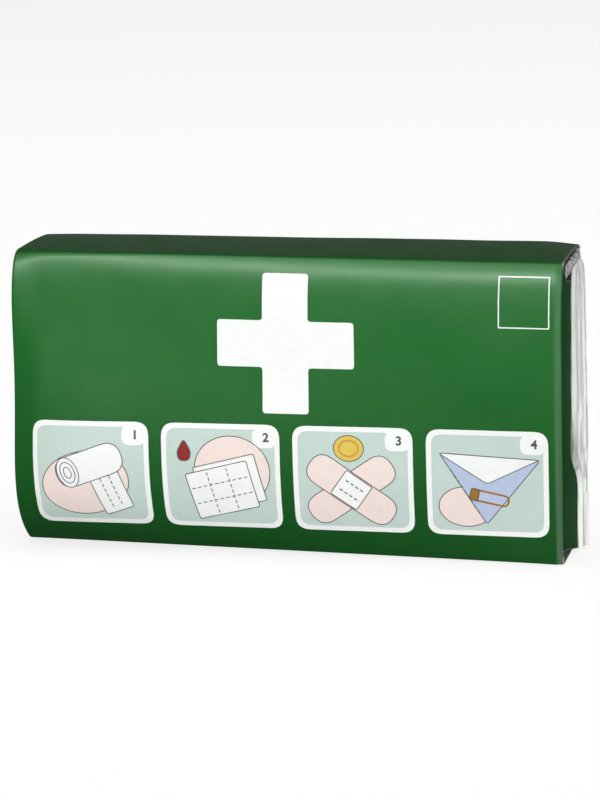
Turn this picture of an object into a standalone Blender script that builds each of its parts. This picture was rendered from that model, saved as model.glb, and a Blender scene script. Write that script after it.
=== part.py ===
"""Compression bandage pack: a folded bandage in a clear film pouch, in a soft printed wrapper.

The pack stands on its long side. X runs along its length to the open end, the front faces -Y and Z is
up. The origin is the middle of the flat bottom panel. All sizes are in metres.

Every surface comes from one outline: the wrapper's outer skin across the pack, drawn in by a distance.
The wrapper's inner skin, the pouch and the bandage are that outline, drawn in further each time.
"""

import math
from collections import namedtuple

import bmesh
import bpy

# The wrapper, between its creases
LENGTH = 0.1746
HEIGHT = 0.0944
DEPTH = 0.0314
WRAPPER_WALL = 0.0010
FRONT_BULGE = 0.0115
BACK_BULGE = 0.0045
TOP_CROWN = 0.0005
TOP_RISE = 0.0008
CREASE_RADIUS = 0.0040
END_RADIUS = 0.0024
END_DOME = 0.0012

# The flap that folds back from the front panel over the open end
FOLD_RADIUS = 0.0003
FLAP_REACH = 0.0225
FLAP_LOW = 0.0041
FLAP_TOP_GAP = 0.0014
FLAP_SHOULDER = 0.0075
FLAP_LIFT = 0.0016

# How far past the flap's free edge, as a share of its reach, the film has come back to the pack's end
FLAP_FALL = 0.30

# The clear film pouch and its gathered end
FILM_WALL = 0.0006
FILM_START = 0.0080
PLEAT_WALL = 0.0008
PLEAT_STAND = 0.0016
PLEAT_FOOT = 0.0012
SLOT_WIDTH = 0.0026

# The folded bandage
LAYERS = 5
LAYER_GROOVE = 0.0012
BANDAGE_RADIUS = 0.0040

# The gap between pieces, and the smallest radius of an inner crease
CLEARANCE = 0.0004
LEAST_RADIUS = 0.0003

# How finely the skins are divided
FRONT_STEPS = 12
BACK_STEPS = 8
FLAT_STEPS = 4
CREASE_STEPS = 3
END_STEPS = 3
LENGTH_STEPS = 8
LAYER_STEPS = 3
FOLD_STEPS = 3

# Sections of the wrapper. along is a share of LENGTH from the closed end. belly, lean and heel are shares
# of FRONT_BULGE: the swell at mid height, its lean to the top, and its fullness at both creases.
# back is a share of BACK_BULGE. top and base are the upper and lower creases, shares of CREASE_RADIUS.
# rise is how much higher the top panel's rear edge lies than its front one, a share of TOP_RISE.
Section = namedtuple("Section", "along belly lean heel back top base rise")
SECTIONS = (
    Section(0.00, 0.60, -0.40, 1.25, 0.75, 1.00, 0.38, 0.10),
    Section(0.06, 0.95, -0.60, 0.92, 0.80, 1.00, 0.36, 0.25),
    Section(0.25, 0.79, -0.45, 0.62, 0.95, 0.80, 0.34, 0.45),
    Section(0.50, 0.59, -0.27, 0.26, 1.00, 0.60, 0.32, 0.70),
    Section(0.75, 0.41, -0.08, -0.12, 0.85, 0.42, 0.30, 0.90),
    Section(0.94, 0.29, 0.06, -0.40, 0.65, 0.30, 0.30, 1.00),
    Section(1.00, 0.25, 0.10, -0.48, 0.60, 0.30, 0.30, 0.10),
)

# Columns of the flap. reach is a share of FLAP_REACH from the crease. low is the lower edge's height, a
# share of FLAP_LOW, and high the upper edge's drop, a share of FLAP_SHOULDER. out_low and out_high are how
# far it stands out of the end at each edge, shares of FLAP_LIFT.
Column = namedtuple("Column", "reach low high out_low out_high")
FLAP_COLUMNS = (
    Column(0.22, 0.80, 0.60, 0.10, 0.05),
    Column(0.50, 0.42, 0.82, 0.40, 0.15),
    Column(0.70, 0.18, 0.90, 0.75, 0.20),
    Column(0.86, 0.12, 0.96, 1.00, 0.20),
    Column(1.00, 1.20, 1.00, 1.00, 0.20),
)

# The gathered film in plan, from the slot behind the flap to its free edge. across is a share of the way
# from the slot to the free edge, and stand a share of PLEAT_STAND off the flap.
Pleat = namedtuple("Pleat", "across stand")
PLEATS = (
    Pleat(0.00, 0.00),
    Pleat(0.05, 0.85),
    Pleat(0.18, 1.00),
    Pleat(0.33, 0.35),
    Pleat(0.46, 0.90),
    Pleat(0.62, 0.20),
    Pleat(0.76, 0.60),
    Pleat(1.00, 0.00),
)

# The gathered film from its foot up. height is a share of HEIGHT. edge is where its free edge lies, a share
# of DEPTH from the front crease. stand is a share of the pleats' own stand.
Level = namedtuple("Level", "height edge stand")
LEVELS = (
    Level(0.00, 0.62, 1.00),
    Level(0.20, 0.60, 1.00),
    Level(0.34, 0.46, 1.10),
    Level(0.48, 0.31, 1.00),
    Level(0.74, 0.32, 0.80),
    Level(0.88, 0.40, 0.50),
    Level(0.95, 0.55, 0.20),
)


def between(rows, key, value):
    """The row of a table at a value of its first column, blended from the two rows around it."""
    value = min(max(value, getattr(rows[0], key)), getattr(rows[-1], key))
    for low, high in zip(rows, rows[1:]):
        start, end = getattr(low, key), getattr(high, key)
        if value <= end:
            share = (value - start) / (end - start)
            return type(low)(*(a + (b - a) * share for a, b in zip(low, high)))
    return rows[-1]


def section_at(x):
    return between(SECTIONS, "along", x / LENGTH + 0.5)


def front_swell(section, z):
    """How far the front panel stands forward of its creases at height z."""
    level = 2.0 * z / HEIGHT - 1.0
    shape = section.belly + section.lean * level + section.heel * level**2
    return FRONT_BULGE * (1.0 - level**2) * shape


def back_swell(section, z):
    level = 2.0 * z / HEIGHT - 1.0
    return BACK_BULGE * section.back * (1.0 - level**2)


def drawn_in(swell, section, z, inset):
    """A swell's distance from the pack's middle plane, drawn in square to the surface."""
    step = HEIGHT / 1000.0
    slope = (swell(section, z + step) - swell(section, z - step)) / (2.0 * step)
    return DEPTH / 2.0 + swell(section, z) - inset * math.hypot(1.0, slope)


def top_height(section, y, inset):
    across = 2.0 * y / DEPTH
    rise = TOP_RISE * section.rise * (across + 1.0) / 2.0
    return HEIGHT + TOP_CROWN * (1.0 - min(1.0, across**2)) + rise - inset


def crease_curve(start, corner, end):
    """The points of a rounded crease between its two ends, without the ends."""
    points = []
    for step in range(1, CREASE_STEPS):
        t = step / CREASE_STEPS
        weights = ((1.0 - t) ** 2, 2.0 * t * (1.0 - t), t**2)
        points.append(tuple(
            sum(w * p[axis] for w, p in zip(weights, (start, corner, end))) for axis in (0, 1)
        ))
    return points


def flap_shares():
    """Where the front panel's points lie between its creases, with one at each end of the flap's fold."""
    base, top = (CREASE_RADIUS * share for share in (SECTIONS[-1].base, SECTIONS[-1].top))
    span = HEIGHT - base - top
    low = (FLAP_LOW - base) / span
    high = (HEIGHT - FLAP_TOP_GAP - base) / span
    inner = FRONT_STEPS - 2
    return [0.0] + [low + (high - low) * step / inner for step in range(inner + 1)] + [1.0]


def outline(x, inset, flat_steps=FLAT_STEPS, scallop=None):
    """The skin across the pack at x as (y, z) points: up the front, over the top, down the back."""
    section = section_at(x)
    base, top = (max(CREASE_RADIUS * share - inset, LEAST_RADIUS) for share in (section.base, section.top))
    low, high = inset, HEIGHT - inset
    span = high - low - base - top

    def front(z):
        return (-drawn_in(front_swell, section, z, inset), z)

    def back(z):
        return (drawn_in(back_swell, section, z, inset), z)

    def flat(start, end, height):
        points = []
        for step in range(flat_steps + 1):
            y = start + (end - start) * step / flat_steps
            dip = scallop(y) if scallop else 0.0
            points.append((y, height(y, dip)))
        return points

    def over(y, dip):
        return top_height(section, y, inset) - dip

    def under(y, dip):
        return low + dip

    front_side = [front(low + base + span * share) for share in flap_shares()]
    back_side = [back(high - top - span * step / BACK_STEPS) for step in range(BACK_STEPS + 1)]
    top_side = flat(front(high)[0] + top, back(high)[0] - top, over)
    base_side = flat(back(low)[0] - base, front(low)[0] + base, under)
    rear = back(high)[0]
    sides = (front_side, top_side, back_side, base_side)
    corners = (front(high), (rear, top_height(section, rear, inset)), back(low), front(low))
    points = []
    for side, corner, following in zip(sides, corners, sides[1:] + sides[:1]):
        points += side + crease_curve(side[-1], corner, following[0])
    return points


def ring(x, inset, **options):
    return [(x, y, z) for y, z in outline(x, inset, **options)]


def rounded_end(tip, inward, inset, radius, steps, **options):
    """Rings round a body's end, from the tip inward. inward is +1 at the left end and -1 at the right."""
    rings = []
    for step in range(steps):
        angle = math.pi / 2.0 * step / steps
        x = tip + inward * radius * (1.0 - math.cos(angle))
        rings.append(ring(x, inset + radius * (1.0 - math.sin(angle)), **options))
    return rings


def shared_stations():
    """Where along X every skin has a ring, so that the skins stay parallel: at each section and between."""
    places = []
    for low, high in zip(SECTIONS, SECTIONS[1:]):
        steps = max(1, math.ceil((high.along - low.along) * LENGTH_STEPS))
        places += [low.along + (high.along - low.along) * step / steps for step in range(steps)]
    return [LENGTH * (share - 0.5) for share in places]


def stations(start, end):
    """A body's stations from its start to its end, with the shared ones between them."""
    margin = END_RADIUS / 3.0
    return [start, *(x for x in shared_stations() if start + margin < x < end - margin), end]


class Skin:
    """A mesh under construction: rings of vertices joined by bands of faces."""

    def __init__(self):
        self.mesh = bmesh.new()

    def add(self, points):
        return [self.mesh.verts.new(point) for point in points]

    def face(self, *corners):
        self.mesh.faces.new(corners)

    def band(self, one, two, closed=True, skip=()):
        count = len(one)
        for i in range(count if closed else count - 1):
            j = (i + 1) % count
            if i not in skip:
                self.face(one[i], one[j], two[j], two[i])

    def bands(self, rings, closed=True):
        for one, two in zip(rings, rings[1:]):
            self.band(one, two, closed)

    def dome(self, edge, out):
        """Closes a ring with a low dome that stands out by the signed distance along X."""
        middle = [sum(v.co[axis] for v in edge) / len(edge) for axis in range(3)]
        inner = self.add(
            (v.co[0] + 0.6 * out, *((v.co[axis] + middle[axis]) / 2.0 for axis in (1, 2))) for v in edge
        )
        self.band(edge, inner)
        peak = self.mesh.verts.new((middle[0] + out, middle[1], middle[2]))
        for i, vertex in enumerate(inner):
            self.face(vertex, inner[(i + 1) % len(inner)], peak)

    def finish(self, name, material):
        bmesh.ops.recalc_face_normals(self.mesh, faces=self.mesh.faces)
        data = bpy.data.meshes.new(name)
        self.mesh.to_mesh(data)
        self.mesh.free()
        data.materials.append(material)
        piece = bpy.data.objects.new(name, data)
        bpy.context.scene.collection.objects.link(piece)
        data.shade_smooth()
        data.set_sharp_from_angle(angle=math.radians(35.0))
        return piece


def make_material(name, colour, roughness, alpha=1.0):
    material = bpy.data.materials.new(name)
    material.use_nodes = True
    shader = material.node_tree.nodes["Principled BSDF"]
    shader.inputs["Base Color"].default_value = (*colour, 1.0)
    shader.inputs["Roughness"].default_value = roughness
    shader.inputs["Metallic"].default_value = 0.0
    shader.inputs["Alpha"].default_value = alpha
    return material


def wrapper_rings(inset):
    """Rings of one of the wrapper's skins, from its closed end to the open one."""
    tip = -LENGTH / 2.0 + inset
    radius = END_RADIUS - inset
    rings = rounded_end(tip, 1.0, inset, radius, END_STEPS)
    return rings + [ring(x, inset) for x in stations(tip + radius, LENGTH / 2.0)]


def flap_column(column, crease_points, behind):
    """One upright row of the flap's points, on its outer face or that far behind it."""
    low = FLAP_LOW * column.low
    high = HEIGHT - FLAP_TOP_GAP - FLAP_SHOULDER * column.high
    first, last = crease_points[0][1], crease_points[-1][1]
    points = []
    for y, z in crease_points:
        up = (z - first) / (last - first)
        out = FLAP_LIFT * (column.out_low + (column.out_high - column.out_low) * up)
        along = y + (FLAP_REACH - DEPTH / 2.0 - y) * column.reach
        points.append((LENGTH / 2.0 + out - behind, along, low + (high - low) * up))
    return points


def flap_lift(y, z):
    """How far the flap stands out of the open end at a depth and a height."""
    reach = (y + DEPTH / 2.0) / FLAP_REACH
    column = between(FLAP_COLUMNS, "reach", reach)
    up = min(max((z - FLAP_LOW) / (HEIGHT - FLAP_TOP_GAP - FLAP_LOW), 0.0), 1.0)
    fall = min(max(1.0 - (reach - 1.0) / FLAP_FALL, 0.0), 1.0)
    return FLAP_LIFT * fall * (column.out_low + (column.out_high - column.out_low) * up)


def make_wrapper():
    skin = Skin()
    outer_rings, inner_rings = wrapper_rings(0.0), wrapper_rings(WRAPPER_WALL)
    fold = FOLD_RADIUS + WRAPPER_WALL
    first, last = 1, FRONT_STEPS - 1
    for rim in (outer_rings[-1], inner_rings[-1]):
        for i in range(first, last + 1):
            x, y, z = rim[i]
            rim[i] = (x - fold, y, z)
    outer = [skin.add(points) for points in outer_rings]
    inner = [skin.add(points) for points in inner_rings]
    skin.bands(outer)
    skin.bands(inner)
    skin.dome(outer[0], -END_DOME)
    skin.dome(inner[0], -END_DOME)
    skin.band(outer[-1], inner[-1], skip=range(first, last))
    add_flap(skin, outer[-1][first:last + 1], inner[-1][first:last + 1])
    return skin.finish("wrapper", make_material("printed_sheet", (0.035, 0.155, 0.055), 0.32))


def add_flap(skin, outer_edge, inner_edge):
    """Carries the front panel's edge round the fold and back over the open end."""
    outer, inner = [outer_edge], [inner_edge]
    for step in range(1, FOLD_STEPS + 1):
        angle = math.pi / 2.0 * step / FOLD_STEPS
        for columns, edge, radius in (
            (outer, outer_edge, FOLD_RADIUS + WRAPPER_WALL),
            (inner, inner_edge, FOLD_RADIUS),
        ):
            columns.append(skin.add(
                (v.co[0] + radius * math.sin(angle), v.co[1] + radius * (1.0 - math.cos(angle)), v.co[2])
                for v in edge
            ))
    creases = [(v.co[1], v.co[2]) for v in outer_edge]
    for column in FLAP_COLUMNS:
        outer.append(skin.add(flap_column(column, creases, 0.0)))
        inner.append(skin.add(flap_column(column, creases, WRAPPER_WALL)))
    skin.bands(outer, closed=False)
    skin.bands(inner, closed=False)
    skin.band(outer[-1], inner[-1], closed=False)
    for row in (0, -1):
        skin.band([c[row] for c in outer], [c[row] for c in inner], closed=False)


def pouch_end():
    """Where the pouch's closed end lies, behind the flap."""
    return LENGTH / 2.0 - WRAPPER_WALL - CLEARANCE


def make_bag():
    """The pouch round the bandage, open at the hidden end."""
    skin = Skin()
    outer_inset = WRAPPER_WALL + CLEARANCE
    inner_inset = outer_inset + FILM_WALL
    start = -LENGTH / 2.0 + FILM_START
    outer = [skin.add(ring(x, outer_inset)) for x in stations(start, pouch_end())]
    inner = [skin.add(ring(x, inner_inset)) for x in stations(start, pouch_end() - FILM_WALL)]
    skin.bands(outer)
    skin.bands(inner)
    skin.band(outer[0], inner[0])
    skin.face(*outer[-1])
    skin.face(*inner[-1])
    return skin.finish("film_pouch", make_material("clear_film", (0.80, 0.81, 0.80), 0.16, 0.45))


def pleat_line(level, z):
    """The gathered film's middle line in plan at height z, from inside the pouch's end."""
    slot = DEPTH / 2.0 - WRAPPER_WALL - CLEARANCE - SLOT_WIDTH / 2.0
    free = -DEPTH / 2.0 + DEPTH * level.edge
    line = [(pouch_end() - FILM_WALL / 2.0, slot)]
    for pleat in PLEATS:
        y = slot + (free - slot) * pleat.across
        stand = CLEARANCE + PLEAT_WALL + PLEAT_STAND * pleat.stand * level.stand
        line.append((LENGTH / 2.0 + flap_lift(y, z) + stand, y))
    return line


def thickened(line, thickness):
    """Two lines beside a line in plan, half a thickness away on each side."""
    sides = ([], [])
    for i, (x, y) in enumerate(line):
        before, after = line[max(i - 1, 0)], line[min(i + 1, len(line) - 1)]
        dx, dy = after[0] - before[0], after[1] - before[1]
        size = math.hypot(dx, dy)
        for side, sign in zip(sides, (1.0, -1.0)):
            side.append((x + sign * dy / size * thickness / 2.0, y - sign * dx / size * thickness / 2.0))
    return sides


def make_pleats():
    """The pouch's gathered end, folded forward over the flap."""
    skin = Skin()
    loops = []
    for level in LEVELS:
        z = PLEAT_FOOT + (HEIGHT - PLEAT_FOOT) * level.height
        one, two = thickened(pleat_line(level, z), PLEAT_WALL)
        loops.append(skin.add((x, y, z) for x, y in one + two[::-1]))
    skin.bands(loops)
    for loop in (loops[0], loops[-1]):
        count = len(loop) // 2
        skin.band(loop[:count], loop[count:][::-1], closed=False)
    return skin.finish("film_pleats", bpy.data.materials["clear_film"])


def make_film_pouch():
    """The bag with its gathered end joined to it."""
    bag, pleats = make_bag(), make_pleats()
    join = bag.modifiers.new("gathered end", "BOOLEAN")
    join.operation = "UNION"
    join.solver = "EXACT"
    join.object = pleats
    pleats.hide_render = True
    pleats.display_type = "WIRE"
    return bag


def layer_groove(y):
    """How deep the bandage's edge dips at y: full at each fold's boundary and none at a fold's middle."""
    half = DEPTH / 2.0
    place = min(max((y + half) / DEPTH, 0.0), 1.0) * LAYERS
    return LAYER_GROOVE * abs(math.cos(math.pi * place)) ** 3


def make_bandage():
    skin = Skin()
    inset = WRAPPER_WALL + FILM_WALL + 2.0 * CLEARANCE
    start = -LENGTH / 2.0 + inset
    end = pouch_end() - FILM_WALL - CLEARANCE
    options = {"flat_steps": LAYER_STEPS * LAYERS, "scallop": layer_groove}
    left = rounded_end(start, 1.0, inset, BANDAGE_RADIUS, END_STEPS, **options)
    right = rounded_end(end, -1.0, inset, BANDAGE_RADIUS, END_STEPS, **options)
    middle = [ring(x, inset, **options) for x in stations(start + BANDAGE_RADIUS, end - BANDAGE_RADIUS)]
    rings = [skin.add(points) for points in left + middle + right[::-1]]
    skin.bands(rings)
    skin.face(*rings[0])
    skin.face(*rings[-1])
    return skin.finish("bandage", make_material("gauze", (0.82, 0.81, 0.77), 0.90))


def main():
    for item in list(bpy.data.objects):
        bpy.data.objects.remove(item, do_unlink=True)
    make_wrapper()
    make_film_pouch()
    make_bandage()


main()
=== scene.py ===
"""Compression bandage pack, finished for rendering: a folded bandage in a clear film pouch, in a soft
printed wrapper that stands on its long side.

The file is laid out as an add-on. Each operator makes one piece or one group of like pieces, from sizes and
colours that the panel in the sidebar shows. Everything is in metres: X runs along the pack to its open end,
the printed front faces -Y, and Z is up.
"""

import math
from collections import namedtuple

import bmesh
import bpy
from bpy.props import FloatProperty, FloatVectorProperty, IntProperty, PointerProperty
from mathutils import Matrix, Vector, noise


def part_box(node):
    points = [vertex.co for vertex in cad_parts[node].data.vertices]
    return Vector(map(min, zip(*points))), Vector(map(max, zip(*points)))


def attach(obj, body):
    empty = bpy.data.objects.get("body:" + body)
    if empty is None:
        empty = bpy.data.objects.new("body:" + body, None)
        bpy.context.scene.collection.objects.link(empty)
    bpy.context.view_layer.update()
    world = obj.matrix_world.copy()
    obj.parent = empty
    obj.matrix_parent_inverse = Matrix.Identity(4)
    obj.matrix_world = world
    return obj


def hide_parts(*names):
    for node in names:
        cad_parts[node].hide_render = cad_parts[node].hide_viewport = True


bl_info = {
    "name": "Compression Bandage Pack",
    "version": (1, 0, 0),
    "blender": (4, 5, 0),
    "location": "View3D > Sidebar > Bandage Pack",
    "description": "Makes a compression bandage in its printed wrapper and clear film pouch",
    "category": "Object",
}

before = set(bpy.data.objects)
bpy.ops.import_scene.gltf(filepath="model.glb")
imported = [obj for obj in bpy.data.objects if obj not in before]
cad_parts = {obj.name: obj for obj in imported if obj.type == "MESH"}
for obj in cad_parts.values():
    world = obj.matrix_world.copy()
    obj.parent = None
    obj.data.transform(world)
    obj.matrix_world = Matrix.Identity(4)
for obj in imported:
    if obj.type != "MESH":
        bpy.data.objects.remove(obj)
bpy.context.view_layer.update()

WRAPPER_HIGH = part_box("wrapper")[1]

# How far the flap stands out of the open end, and the top panel's crown over its front crease
FLAP_STAND = 0.0016
CREST = 0.00098

# How far from the open end the sheet is divided more finely, and the width and depth of the end's folds
FINE_REACH = 0.012
END_FOLD_WIDTH = 0.0011
END_FOLD = 0.0005

# How finely the print is cut before it is laid on the sheet, how far it lies off it, and each layer further
PRINT_STEP = 0.0012
INK_GAP = 0.00010
LAYER_GAP = 0.000014

# The white tab behind a panel's number, its middle from the inner top right corner, the number's middle from
# the outer one, and how much bolder the number is than its font
TAB_SIZE = (0.0074, 0.0062)
TAB_CORNER = 0.0024
TAB_PLACE = (0.0033, 0.0027)
NUMBER_PLACE = (0.0043, 0.0042)
NUMBER_BOLD = 0.00012

# Where flat print is drawn, ahead of the front, and what the camera and the lamps point at
DRAWN_AT = -0.06
TARGET = Vector((0.0007, 0.0, 0.0453))

# How far inside the open end the pouch's shoulder and the bandage end, and the gathered film starts
POUCH_END = 0.0030
BANDAGE_END = 0.0036
SLOT_START = 0.0016

# The pouch's mouth: how far it comes out to the slot, and how far from the base and the top it ends
MOUTH_OUT = 0.0016
MOUTH_MARGIN = 0.006

# Where the outer gathered layer spreads on the flap, as a share of the height, how tall that spread is, and
# how much lower the gathered film's head is at its rear
SPREAD_AT = 0.36
SPREAD_TALL = 0.0085
REAR_DROP = 0.0030

# The sealed fin at the foot of the gathered film: its height, its reach off the flap and its thickness
TAIL_HEIGHT = 0.0172
TAIL_REACH = 0.0027
SEAL = 0.0003

# Sections of the wrapper. along is a share of the length from the closed end. belly, lean and heel are
# shares of the front swell: at mid height, its lean to the top, and its fullness at both creases. back is a
# share of the back swell. top and base are the creases' radii, and rise is the top panel's slope to the
# rear, each a share of its own size. shoulder is how full the front is just under its top crease.
Section = namedtuple("Section", "along belly lean heel back top base rise shoulder")
SECTIONS = (
    Section(0.00, 0.60, -0.52, 1.13, 0.75, 0.90, 0.20, 0.10, 0.10),
    Section(0.06, 0.95, -0.92, 0.58, 0.80, 0.50, 0.26, 0.25, 0.12),
    Section(0.25, 0.79, -0.72, 0.35, 0.95, 0.18, 0.28, 0.45, 0.34),
    Section(0.50, 0.59, -0.44, 0.05, 1.00, 0.15, 0.28, 0.70, 0.64),
    Section(0.75, 0.41, -0.20, -0.19, 0.85, 0.15, 0.26, 0.90, 0.94),
    Section(0.94, 0.29, -0.06, -0.36, 0.65, 0.15, 0.20, 1.00, 1.10),
    Section(1.00, 0.25, -0.02, -0.40, 0.60, 0.15, 0.10, 0.10, 1.14),
)

# Columns of the flap. reach is a share of its width from the crease. low and high are the lower edge's
# height and the upper edge's drop, out_low and out_high how far it stands out at each edge, all as shares.
Column = namedtuple("Column", "reach low high out_low out_high")
FLAP_COLUMNS = (
    Column(0.00, 1.00, 0.05, 0.00, 0.00),
    Column(0.22, 0.80, 0.60, 0.10, 0.05),
    Column(0.50, 0.42, 0.82, 0.40, 0.15),
    Column(0.70, 0.18, 0.90, 0.75, 0.20),
    Column(0.86, 0.12, 0.96, 1.00, 0.20),
    Column(1.00, 1.20, 1.00, 1.00, 0.20),
)

# Soft dents and swells of the front panel. across and up are shares of the length and height, from the
# closed end and the base. wide and tall are shares too, and out is a share of the dents' size.
Dent = namedtuple("Dent", "across up wide tall out")
DENTS = (
    Dent(0.17, 0.70, 0.10, 0.22, 0.45),
    Dent(0.37, 0.62, 0.14, 0.16, -0.50),
    Dent(0.58, 0.78, 0.12, 0.12, 0.40),
    Dent(0.72, 0.52, 0.10, 0.24, -0.60),
    Dent(0.88, 0.66, 0.05, 0.20, 0.45),
    Dent(0.28, 0.22, 0.16, 0.10, -0.35),
    Dent(0.66, 0.20, 0.14, 0.12, 0.40),
    Dent(0.93, 0.30, 0.04, 0.18, -0.45),
)

# The gathered film in plan, from the slot behind the flap to its free edge. across is a share of the way,
# and stand a share of the pleats' depth.
Pleat = namedtuple("Pleat", "across stand")
PLEATS = (
    Pleat(0.00, 0.10),
    Pleat(0.07, 0.85),
    Pleat(0.15, 1.00),
    Pleat(0.22, 0.35),
    Pleat(0.29, 0.80),
    Pleat(0.37, 0.90),
    Pleat(0.44, 0.25),
    Pleat(0.53, 0.75),
    Pleat(0.61, 0.55),
    Pleat(0.69, 0.12),
    Pleat(0.78, 0.55),
    Pleat(0.87, 0.50),
    Pleat(0.94, 0.10),
    Pleat(1.00, 0.00),
)

# The gathered film from its foot up. height is a share of the pack's. edge is where the free edge lies, a
# share of the depth from the front crease. stand is a share of the pleats' own stand.
Level = namedtuple("Level", "height edge stand")
LEVELS = (
    Level(0.00, 0.56, 1.00),
    Level(0.22, 0.58, 1.00),
    Level(0.38, 0.54, 1.10),
    Level(0.48, 0.37, 1.00),
    Level(0.74, 0.355, 0.85),
    Level(0.90, 0.37, 0.75),
    Level(0.975, 0.42, 0.55),
)

# Plain pictures of dressings in the four printed panels. place is from a panel's middle and size is across
# and up, both in millimetres, and turn is in degrees. A mark in a higher layer lies on one in a lower layer,
# and a lined one has a thin line round it in the next layer.
Motif = namedtuple("Motif", "panel layer ink form place size turn lined")
MOTIFS = (
    # A bandage roll with its tail hanging down, on a round ground
    Motif(1, 2, "pink", "disc", (-2.0, -3.0), (28.0, 21.0), 10, True),
    Motif(1, 4, "white", "block", (6.0, -5.6), (9.5, 14.0), 20, True),
    Motif(1, 6, "line", "dashes", (4.6, -6.1), (11.0, 0.3), 110, False),
    Motif(1, 6, "line", "dashes", (7.4, -5.1), (11.0, 0.3), 110, False),
    Motif(1, 6, "white", "capsule", (-0.5, 3.0), (22.0, 10.0), 20, True),
    Motif(1, 8, "white", "disc", (-7.4, 0.5), (6.6, 10.0), 20, True),
    Motif(1, 10, "line", "ring", (-7.4, 0.5), (4.4, 7.0), 20, False),
    Motif(1, 10, "line", "ring", (-7.4, 0.5), (2.2, 3.8), 20, False),
    # A folded, quilted pad and a drop
    Motif(2, 2, "pink", "disc", (3.6, 2.2), (24.0, 22.0), -15, True),
    Motif(2, 2, "red", "drop", (-11.6, 8.6), (4.6, 7.0), 0, True),
    Motif(2, 4, "white", "block", (2.6, -2.2), (20.0, 15.5), 14, True),
    Motif(2, 6, "white", "block", (0.2, -4.4), (20.0, 15.5), 14, True),
    Motif(2, 8, "line", "dashes", (-2.9, -5.2), (14.6, 0.3), 104, False),
    Motif(2, 8, "line", "dashes", (3.3, -3.6), (14.6, 0.3), 104, False),
    Motif(2, 8, "line", "dashes", (-0.5, -1.9), (19.0, 0.3), 14, False),
    Motif(2, 8, "line", "dashes", (0.9, -6.9), (19.0, 0.3), 14, False),
    # Two crossed plasters under a round tin
    Motif(3, 2, "yellow", "disc", (-1.2, 10.2), (9.4, 8.2), 0, True),
    Motif(3, 4, "orange", "ring", (-1.2, 10.2), (6.0, 5.0), 0, False),
    Motif(3, 4, "pink", "capsule", (-0.6, -3.2), (31.0, 10.0), 35, True),
    Motif(3, 6, "pink", "capsule", (-0.6, -3.2), (31.0, 10.0), -35, True),
    Motif(3, 8, "white", "block", (-0.6, -3.2), (9.6, 9.2), -35, True),
    Motif(3, 10, "line", "dashes", (-1.6, -4.6), (7.0, 0.4), -35, False),
    Motif(3, 10, "line", "dashes", (0.4, -1.8), (7.0, 0.4), -35, False),
    # A folded three-cornered cloth and a pin, on a round ground
    Motif(4, 2, "pink", "disc", (-6.6, -7.6), (17.0, 13.0), 0, True),
    Motif(4, 4, "blue", "wedge", (0.2, -2.2), (31.0, 22.0), -3, True),
    Motif(4, 6, "white", "wedge", (0.2, 4.4), (31.0, 8.8), -3, True),
    Motif(4, 6, "line", "dashes", (-6.9, -2.6), (17.0, 0.3), -58, False),
    Motif(4, 6, "ochre", "loop", (1.0, -4.6), (11.0, 3.4), -12, False),
    Motif(4, 8, "ochre", "block", (-4.0, -3.5), (2.6, 3.8), -12, True),
)

# Lamps round the pack, by azimuth from its front and elevation in degrees, distance, and size in
# metres. shows says whether a lamp is seen in matt surfaces, shiny ones or both, and on what it lights: the
# pack, its film alone or the floor.
Lamp = namedtuple("Lamp", "name azimuth elevation distance size shows on")
LAMPS = (
    Lamp("main", 4.0, 10.0, 0.80, (0.50, 0.50), "matt", "pack"),
    Lamp("strip", -10.0, 38.0, 0.70, (1.10, 0.12), "shiny", "pack"),
    Lamp("crown", -10.0, 62.0, 0.70, (1.10, 0.40), "shiny", "pack"),
    Lamp("edge", 38.0, -8.0, 0.80, (0.08, 1.10), "shiny", "pack"),
    Lamp("side", 75.0, 14.0, 0.80, (0.30, 0.40), "both", "pack"),
    Lamp("glow", 45.0, 14.0, 0.80, (0.30, 0.60), "both", "film"),
    Lamp("rear", 200.0, 14.0, 1.20, (0.90, 0.50), "shiny", "pack"),
    Lamp("back", 190.0, 4.0, 0.90, (0.60, 0.60), "matt", "pack"),
    Lamp("left", 265.0, 8.0, 0.90, (0.60, 0.60), "matt", "pack"),
    Lamp("above", 0.0, 88.0, 2.00, (2.40, 2.40), "matt", "floor"),
)


# Kinds of settings


def a_length(name, description, default):
    return FloatProperty(name=name, description=description, unit="LENGTH", default=default)


def an_angle(name, description, default):
    return FloatProperty(name=name, description=description, subtype="ANGLE", default=default)


def a_place(name, description, default):
    return FloatVectorProperty(name=name, description=description, unit="LENGTH", size=2, default=default)


def a_colour(name, description, default):
    return FloatVectorProperty(name=name, description=description, subtype="COLOR", size=3, default=default)


def a_power(name, light, default):
    return FloatProperty(name=name, description=f"Power in watts of the {light}", default=default)


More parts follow.
